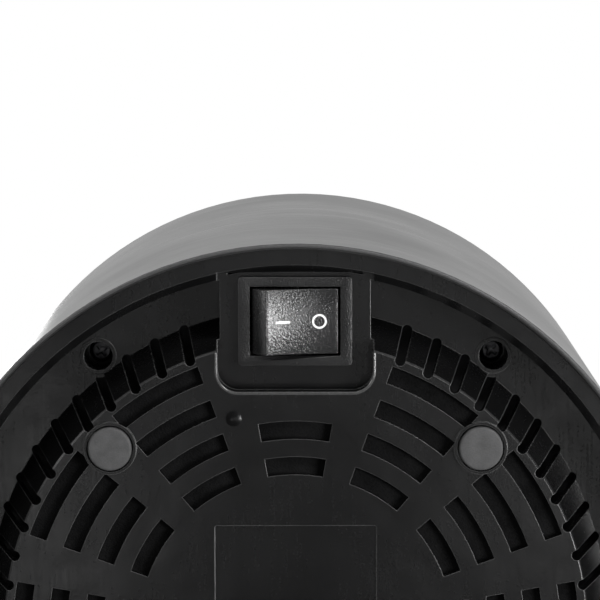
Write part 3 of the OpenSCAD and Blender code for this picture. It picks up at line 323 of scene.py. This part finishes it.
shellLook = {"color": (0.008, 0.008, 0.0082), "light": 1.2, "rough": 0.30, "roughVary": 0.05, "specular": 0.5,
             "blotch": 60 * mm, "grain": 0.9 * mm, "stretch": (0.02, 0.02, 1.0), "depth": 0.006 * mm,
             "edge": 0.3 * mm, "wear": 0.5, "wearColor": (0.16, 0.16, 0.16)}
# the pan's strong edge tint paints bright highlight lines along its slot, rim and pocket edges
panLook = {"color": (0.0026, 0.0026, 0.0027), "light": 1.9, "rough": 0.25, "roughVary": 0.03, "specular": 0.36,
           "blotch": 26 * mm, "grain": 0.7 * mm, "depth": 0.02 * mm, "edge": 0.34 * mm, "wear": 1.0,
           "wearColor": (0.17, 0.17, 0.17), "scuff": 0.03, "streak": 0.02, "wave": 0.25 * mm}
materials = {
    "shell_plastic": moulded("satinShell", **shellLook),
    "pan_plastic": moulded("glossPan", **panLook),
    "foot_rubber": moulded("footRubber", color=(0.048, 0.048, 0.0485), rough=0.75, grain=0.4 * mm, depth=0.03 * mm,
                           light=1.6, blotch=3 * mm, wear=0.35, wearColor=(0.3, 0.3, 0.3), specular=0.3),
    "switch_plastic": moulded("sparkGrainSwitch", color=(0.011, 0.011, 0.0112), rough=0.34, specular=0.42,
                              grain=0.5 * mm, depth=0.22 * mm, light=1.8, edge=0.2 * mm, wear=0.6,
                              wearColor=(0.3, 0.3, 0.3)),
    "rocker_plastic": moulded("sparkGrainPaddle", color=(0.010, 0.010, 0.0103), rough=0.24, specular=0.80,
                              grain=0.5 * mm, depth=0.14 * mm, light=1.8, edge=0.15 * mm, wear=0.7,
                              wearColor=(0.35, 0.35, 0.35)),
    "white_ink": moulded("whiteInk", color=(0.8, 0.8, 0.8), rough=0.5, light=1.05, edge=0, grain=0.2 * mm),
    "zinc_steel": moulded("zincSteel", color=(0.42, 0.42, 0.44), rough=0.34, metallic=1.0, grain=0.5 * mm,
                          blotch=2 * mm, light=1.3, wearColor=(0.7, 0.7, 0.7), edge=0.1 * mm),
    "contact_brass": moulded("contactBrass", color=(0.72, 0.55, 0.26), rough=0.3, metallic=1.0, grain=0.6 * mm,
                             blotch=3 * mm, light=1.2, wearColor=(0.9, 0.8, 0.5), edge=0.1 * mm),
    # the fibre's near-black colour is darkened further as painted shade inside the vent slots
    "filter_foam": moulded("filterFibreSlotShade", color=(0.0035, 0.0035, 0.0036), rough=0.9, grain=0.5 * mm, depth=0.2 * mm,
                           blotch=9 * mm, light=2.6, edge=0, specular=0.03),
    "deck_plastic": moulded("deckPlastic", color=(0.045, 0.045, 0.047), rough=0.5),
    "fan_plastic": moulded("fanPlastic", color=(0.018, 0.018, 0.018), rough=0.42, grain=0.5 * mm),
    "copper_winding": moulded("varnishedCopper", color=(0.5, 0.2, 0.08), rough=0.28, metallic=0.8, grain=0.5 * mm,
                              stretch=(0.1, 0.1, 1.0), depth=0.1 * mm, light=1.5, coat=0.5, edge=0.1 * mm),
    "bearing_steel": moulded("groundSteel", color=(0.6, 0.6, 0.62), rough=0.18, metallic=1.0, grain=0.4 * mm,
                             stretch=(0.05, 0.05, 1.0), depth=0.004 * mm, light=1.15, edge=0.1 * mm,
                             wearColor=(0.8, 0.8, 0.8)),
    "magnet_ferrite": moulded("sinteredFerrite", color=(0.06, 0.06, 0.065), rough=0.5, metallic=0.4, grain=0.3 * mm),
    "heater_plastic": moulded("heatProofPlastic", color=(0.085, 0.065, 0.05), rough=0.55, grain=0.4 * mm),
    "heater_aluminium": moulded("millAluminium", color=(0.7, 0.7, 0.72), rough=0.35, metallic=1.0, grain=0.6 * mm,
                                stretch=(1, 0.06, 1), light=1.15, edge=0.08 * mm, wearColor=(0.85, 0.85, 0.85)),
    "fuse_ceramic": moulded("fuseCeramic", color=(0.7, 0.66, 0.58), rough=0.7, grain=0.3 * mm, light=1.08),
    "sensor_epoxy": moulded("dippedEpoxy", color=(0.025, 0.025, 0.025), rough=0.2, grain=1.2 * mm),
    "board_laminate": moulded("solderMask", color=(0.015, 0.12, 0.05), rough=0.3, grain=0.9 * mm, blotch=5 * mm,
                              light=1.6, stretch=(1, 1, 0.2)),
    "transformer_tape": moulded("transformerTape", color=(0.55, 0.4, 0.08), rough=0.3, grain=1.5 * mm,
                                stretch=(0.1, 0.1, 1)),
    "capacitor_sleeve": moulded("shrinkSleeve", color=(0.02, 0.03, 0.08), rough=0.25, grain=1.0 * mm),
    "relay_case": moulded("relayCase", color=(0.03, 0.12, 0.36), rough=0.35, grain=0.6 * mm),
    "socket_plastic": moulded("socketPlastic", color=(0.016, 0.016, 0.016), rough=0.42, grain=0.3 * mm, wear=0.5),
    "wire_jacket": moulded("wireJacket", color=(0.26, 0.02, 0.02), rough=0.4, grain=0.6 * mm, light=1.2, edge=0),
    "display_body": moulded("displayGlass", color=(0.02, 0.024, 0.03), rough=0.12, grain=1.0 * mm),
    "panel_plastic": moulded("glossPanel", color=(0.009, 0.009, 0.010), rough=0.10, roughVary=0.04, grain=3 * mm,
                             depth=0.004 * mm, blotch=30 * mm, wear=0.3),
    "smoked_lens": moulded("smokedLens", color=(0.004, 0.005, 0.006), rough=0.05, roughVary=0.02, grain=4 * mm,
                           depth=0.002 * mm, coat=0.5),
    "button_plastic": moulded("satinButton", color=(0.36, 0.36, 0.37), rough=0.38, grain=0.4 * mm, light=1.1,
                              wearColor=(0.6, 0.6, 0.6)),
    "liner_plastic": moulded("satinLiner", color=(0.10, 0.10, 0.105), rough=0.42, grain=0.6 * mm, light=1.15,
                             wearColor=(0.25, 0.25, 0.25)),
    "sensor_plastic": moulded("whiteCase", color=(0.7, 0.7, 0.68), rough=0.5, light=1.06, wearColor=(0.8, 0.8, 0.8)),
    "turntable_plastic": moulded("satinTurntable", color=(0.58, 0.58, 0.56), rough=0.42, light=1.08,
                                 wearColor=(0.75, 0.75, 0.75)),
    "pad_rubber": moulded("padRubber", color=(0.022, 0.022, 0.022), rough=0.8, grain=0.5 * mm, depth=0.06 * mm),
    "outlet_plastic": moulded("turnedNylon", color=(0.035, 0.035, 0.037), rough=0.45, grain=0.5 * mm),
    "plug_rubber": moulded("softPlug", color=(0.06, 0.06, 0.062), rough=0.7, grain=0.4 * mm),
    "lid_plastic": moulded("satinLid", color=(0.022, 0.022, 0.023), rough=0.38, grain=0.35 * mm, depth=0.02 * mm,
                           wear=0.4),
    "seal_silicone": moulded("sealSilicone", color=(0.3, 0.3, 0.31), rough=0.5, light=1.1),
    "dial_plastic": moulded("satinDial", color=(0.035, 0.035, 0.036), rough=0.42, grain=0.35 * mm, wear=0.4),
}


def smokedSheet(name, look):
    mat, tree, skin, place = startMaterial(name, {**plainLook, **look})
    skin.inputs["Transmission Weight"].default_value = 1.0
    skin.inputs["IOR"].default_value = 1.49
    skin.inputs["Base Color"].default_value = (*look["color"], 1)
    haze = noiseOf(tree, place, 30 * mm, 5)
    tree.links.new(spread(tree, haze, look["rough"], look["rough"] + 0.06), skin.inputs["Roughness"])
    tree.links.new(bumpOf(tree, noiseOf(tree, place, 6 * mm, 3), 0.004 * mm), skin.inputs["Normal"])
    return mat


materials["window_plastic"] = smokedSheet("smokedWindow", {"color": (0.36, 0.38, 0.40), "rough": 0.03})

for nodeName, piece in nodes.items():
    for i in range(max(1, len(piece.data.materials))):
        if i < len(piece.data.materials):
            piece.data.materials[i] = materials[slotOf[nodeName]]
        else:
            piece.data.materials.append(materials[slotOf[nodeName]])

darkSteel = moulded("blackenedSteel", color=(0.05, 0.05, 0.052), rough=0.35, metallic=1.0, grain=0.5 * mm,
                    blotch=2 * mm, light=1.4, wearColor=(0.16, 0.16, 0.16), edge=0.1 * mm)

print("pieces")


def addPiece(name, bm, body, slot, stands=(), finish=None, smooth=32):
    mesh = bpy.data.meshes.new(name)
    bm.to_mesh(mesh)
    bm.free()
    mesh.shade_smooth()
    mesh.set_sharp_from_angle(angle=math.radians(smooth))
    piece = bpy.data.objects.new(name, mesh)
    bpy.context.scene.collection.objects.link(piece)
    mesh.materials.append(finish or materials[slot])
    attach(piece, body)
    if stands:
        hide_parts(*stands)
    return piece


def softCopy(node, name, width, finish=None, segments=2, angle=34):
    bm = bmesh.new()
    bm.from_mesh(nodes[node].data)
    bmesh.ops.remove_doubles(bm, verts=bm.verts, dist=0.004 * mm)
    bmesh.ops.dissolve_limit(bm, angle_limit=math.radians(0.5), verts=bm.verts, edges=bm.edges)
    sharp = [e for e in bm.edges if len(e.link_faces) == 2 and e.calc_face_angle(0) > math.radians(angle)]
    bmesh.ops.bevel(bm, geom=sharp, offset=width, offset_type="OFFSET", segments=segments, profile=0.5,
                    affect="EDGES", clamp_overlap=True, material=-1)
    bmesh.ops.triangulate(bm, faces=[f for f in bm.faces if len(f.verts) > 4])
    openEdges = sum(1 for e in bm.edges if len(e.link_faces) != 2)
    print("  ", name, len(bm.faces), "faces", len(sharp), "sharp edges", openEdges, "open")
    return addPiece(name, bm, bodyOf[node], slotOf[node], [node], finish)


def turned(bm, profile, steps, centre=(0, 0)):
    first = [bm.verts.new((centre[0] * mm + r * mm, centre[1] * mm, z * mm)) for r, z in profile]
    edges = [bm.edges.new(pair) for pair in zip(first, first[1:])]
    bmesh.ops.spin(bm, geom=first + edges, cent=(centre[0] * mm, centre[1] * mm, 0), axis=(0, 0, 1),
                   angle=2 * math.pi, steps=steps, use_merge=True)
    bmesh.ops.remove_doubles(bm, verts=bm.verts, dist=0.001 * mm)
    bmesh.ops.recalc_face_normals(bm, faces=bm.faces)


softEdges = {"switch_housing": ("switchHousing", 0.25),  # the copy's name, and its edges' rounding in mm
             "panel_bezel": ("panelBezel", 0.3), "inlet_socket": ("inletSocket", 0.25),
             "base_screws": ("baseScrews", 0.12), "vent_dial": ("ventDial", 0.4), "vent_base": ("ventBase", 0.3),
             "turntable": ("turntablePlate", 0.3), "filament_outlets": ("filamentOutlets", 0.2)}
for node, (name, width) in softEdges.items():
    softCopy(node, name, width * mm, darkSteel if node == "base_screws" else None)

footLook = {"radius": 6.05, "top": 3.6, "edge": 0.7, "crown": 0.06, "reach": 72.7, "steps": 64}


def rubberFeet(look):
    bm = bmesh.new()
    r, e = look["radius"], look["edge"]
    bend = [(r - e + e * math.sin(math.radians(a)), e - e * math.cos(math.radians(a))) for a in range(0, 91, 15)]
    profile = [(0, 0.0), (r * 0.5, look["crown"] * 0.3), *[(x, z + look["crown"]) for x, z in bend]]
    profile += [(r, look["top"]), (0, look["top"])]
    for a in (math.radians(45 + 90 * k) for k in range(4)):
        turned(bm, profile, look["steps"], (look["reach"] * math.cos(a), look["reach"] * math.sin(a)))
    return addPiece("rubberFeet", bm, "housing", "foot_rubber", ["rubber_feet"])


rubberFeet(footLook)

def tubesOf(name, paths, thick, roundness):
    curve = bpy.data.curves.new(name, "CURVE")
    curve.dimensions, curve.bevel_depth, curve.bevel_resolution = "3D", thick * mm, roundness
    curve.use_fill_caps = True
    for path in paths:
        line = curve.splines.new("POLY")
        line.points.add(len(path) - 1)
        for point, (x, y, z) in zip(line.points, path):
            point.co = (x * mm, y * mm, z * mm, 1)
    holder = bpy.data.objects.new(name, curve)
    mesh = bpy.data.meshes.new_from_object(holder)
    bpy.data.objects.remove(holder)
    bm = bmesh.new()
    bm.from_mesh(mesh)
    return bm


beadLook = {"half": 21.95, "low": 66.65, "round": 6.1, "straight": 4, "top": 78.0,  # the pocket's outline
            "thick": 0.5, "roundness": 3, "level": 2.68,
            # the bead's colour, lighter than the pan's, is a painted highlight on the pocket's rounded edge
            "shineAndPaintedHighlight": {"color": (0.02, 0.02, 0.02), "rough": 0.22, "specular": 1.0}}


def pocketBead(look):
    half, low, r = look["half"], look["low"], look["round"]
    line = [(half, look["top"]), (half, low + r + look["straight"])]
    for a in (math.radians(-10 * k) for k in range(10)):
        line.append((half - r + r * math.cos(a), low + r + r * math.sin(a)))
    line += [(-x, y) for x, y in reversed(line)]
    bm = tubesOf("pocketBead", [[(x, y, look["level"]) for x, y in line]], look["thick"], look["roundness"])
    shineAndPaintedHighlight = moulded("polishedBeadPaintedHighlight", **{**panLook, **look["shineAndPaintedHighlight"]})
    return addPiece("pocketBead", bm, "housing", "pan_plastic", finish=shineAndPaintedHighlight)


pocketBead(beadLook)

lipLook = {"radius": 107.33, "thick": 0.6, "level": 5.75, "steps": 240,  # a rounded edge under the wall, its lighter grainy colour partly grain, partly a painted highlight band
           "grainyWithPaintedHighlight": {"color": (0.035, 0.035, 0.0355), "rough": 0.42, "grain": 0.45 * mm, "stretch": (1, 1, 1),
                      "depth": 0.12 * mm, "edge": 0, "light": 1.8}}


def rimLip(look):
    bm = bmesh.new()
    r, thick, level = look["radius"], look["thick"], look["level"]
    turns = [math.radians(a) for a in range(0, 361, 36)]
    turned(bm, [(r + thick * math.cos(a), level + thick * math.sin(a)) for a in turns], look["steps"])
    grainyWithPaintedHighlight = moulded("grainyLipPaintedHighlight", **{**shellLook, **look["grainyWithPaintedHighlight"]})
    return addPiece("rimLip", bm, "housing", "shell_plastic", finish=grainyWithPaintedHighlight)


rimLip(lipLook)

filterLook = {"strands": 5200, "length": (2.2, 6.5), "thick": 0.055, "lift": 0.75, "seed": 11,
              "outer": 79.2, "inner": 45.5, "pocket": (27, 60),  # half width and start of the bare place
              "lean": 0.35, "sway": 0.25, "proud": 0.85, "arch": 3.0, "points": 4,
              "bed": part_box("dust_filter")[0].z / mm}


def filterStrands(look):
    rand = random.Random(look["seed"])
    outer, inner, last = look["outer"], look["inner"], look["points"] - 1
    paths = []
    for i in range(look["strands"]):
        reach = math.sqrt(rand.uniform(inner ** 2, outer ** 2))
        around = rand.uniform(0, 2 * math.pi)
        length = rand.uniform(*look["length"])
        lean = rand.gauss(math.pi / 2, look["lean"])
        x, y = reach * math.cos(around), reach * math.sin(around)
        if y > look["pocket"][1] and abs(x) < look["pocket"][0]:
            continue
        path = []
        for k in range(look["points"]):
            t = k / last - 0.5
            sway = rand.uniform(-look["sway"], look["sway"])
            px = x + length * t * math.cos(lean) + sway * math.sin(lean)
            py = y + length * t * math.sin(lean) - sway * math.cos(lean)
            far = math.hypot(px, py)
            hold = min(max(far, inner), outer) / far
            rise = look["lift"] * rand.uniform(0.1, 1) * (1 - look["arch"] * t * t)
            path.append((px * hold, py * hold, look["bed"] + look["proud"] - max(0.0, rise)))
        paths.append(path)
    bm = tubesOf("filterStrands", paths, look["thick"], 0)
    return addPiece("filterStrands", bm, "housing", "filter_foam")


filterStrands(filterLook)

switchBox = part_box("switch_housing")
switchY = (switchBox[0].y + switchBox[1].y) / 2 / mm
paddleLook = {"tilt": 13, "pivot": (0, switchY, 12.5), "half": 10.3, "rise": 7.8, "width": 18.1,
              "hollow": 0.9, "lip": 0.1, "rib": 0.4, "ribFoot": 0.12, "faceFrom": 0.3, "faceSteps": 24,
              "back": 2.4, "flank": 11.5, "flankSteps": 10,  # the closed back and the round ends
              "soften": 0.18, "axleRadius": 1.5, "axleLength": 20.8}


def paddlePose(look):
    return Matrix.Translation(Vector(look["pivot"]) * mm) @ Matrix.Rotation(math.radians(look["tilt"]), 4, "Y")


def rockerPaddle(look):
    bm = bmesh.new()
    half, rise, hollow, lip, rib = (look[key] for key in ("half", "rise", "hollow", "lip", "rib"))
    face = [(half, -rise), (half - rib, -rise), (half - rib - look["ribFoot"], -rise + lip)]
    start = half - rib - look["faceFrom"]
    for k in range(1, look["faceSteps"]):
        x = start - (half + start) * k / look["faceSteps"]
        face.append((x, -rise + lip * max(0.0, x / half) ** 2 + hollow * (1 - (x / half) ** 2)))
    face.append((-half, -rise))
    radius, corner = math.hypot(half, rise), math.atan2(-rise, half)
    flank, count = math.radians(look["flank"]), look["flankSteps"]
    turns = [-flank + (corner + flank) * k / count for k in range(count)]
    right = [(radius * math.cos(a), radius * math.sin(a)) for a in turns]
    left = [(-x, z) for x, z in reversed(right)]
    back = [(-right[0][0], look["back"]), (right[0][0], look["back"])]
    verts = [bm.verts.new((x * mm, -look["width"] / 2 * mm, z * mm)) for x, z in face + left + back + right]
    grown = bmesh.ops.extrude_face_region(bm, geom=[bm.faces.new(verts)])["geom"]
    far = [v for v in grown if isinstance(v, bmesh.types.BMVert)]
    bmesh.ops.translate(bm, vec=(0, look["width"] * mm, 0), verts=far)
    bmesh.ops.recalc_face_normals(bm, faces=bm.faces)
    rim = [e for e in bm.edges if len(e.link_faces) == 2 and e.calc_face_angle(0) > math.radians(50)]
    bmesh.ops.bevel(bm, geom=rim, offset=look["soften"] * mm, segments=2, profile=0.5, affect="EDGES",
                    clamp_overlap=True, material=-1)
    thick = look["axleRadius"] * mm
    axle = bmesh.ops.create_cone(bm, cap_ends=True, segments=32, radius1=thick, radius2=thick,
                                 depth=look["axleLength"] * mm)
    bmesh.ops.rotate(bm, verts=axle["verts"], cent=(0, 0, 0), matrix=Matrix.Rotation(math.pi / 2, 3, "X"))
    bmesh.ops.transform(bm, matrix=paddlePose(look), verts=bm.verts)
    return addPiece("rockerPaddle", bm, "rocker", "rocker_plastic", ["switch_rocker"], smooth=28)


def rockerMarks(look):
    bm = bmesh.new()
    bm.from_mesh(nodes["rocker_marks"].data)
    bmesh.ops.remove_doubles(bm, verts=bm.verts, dist=0.004 * mm)
    pose = paddlePose(look)
    bmesh.ops.transform(bm, matrix=pose.inverted(), verts=bm.verts)
    for v in bm.verts:  # lays the marks onto the hollow face
        v.co.z += look["hollow"] * (1 - (v.co.x / mm / look["half"]) ** 2) * mm
    bmesh.ops.transform(bm, matrix=pose, verts=bm.verts)
    bmesh.ops.recalc_face_normals(bm, faces=bm.faces)
    return addPiece("rockerMarks", bm, "rocker", "white_ink", ["rocker_marks"])


rockerPaddle(paddleLook)
rockerMarks(paddleLook)
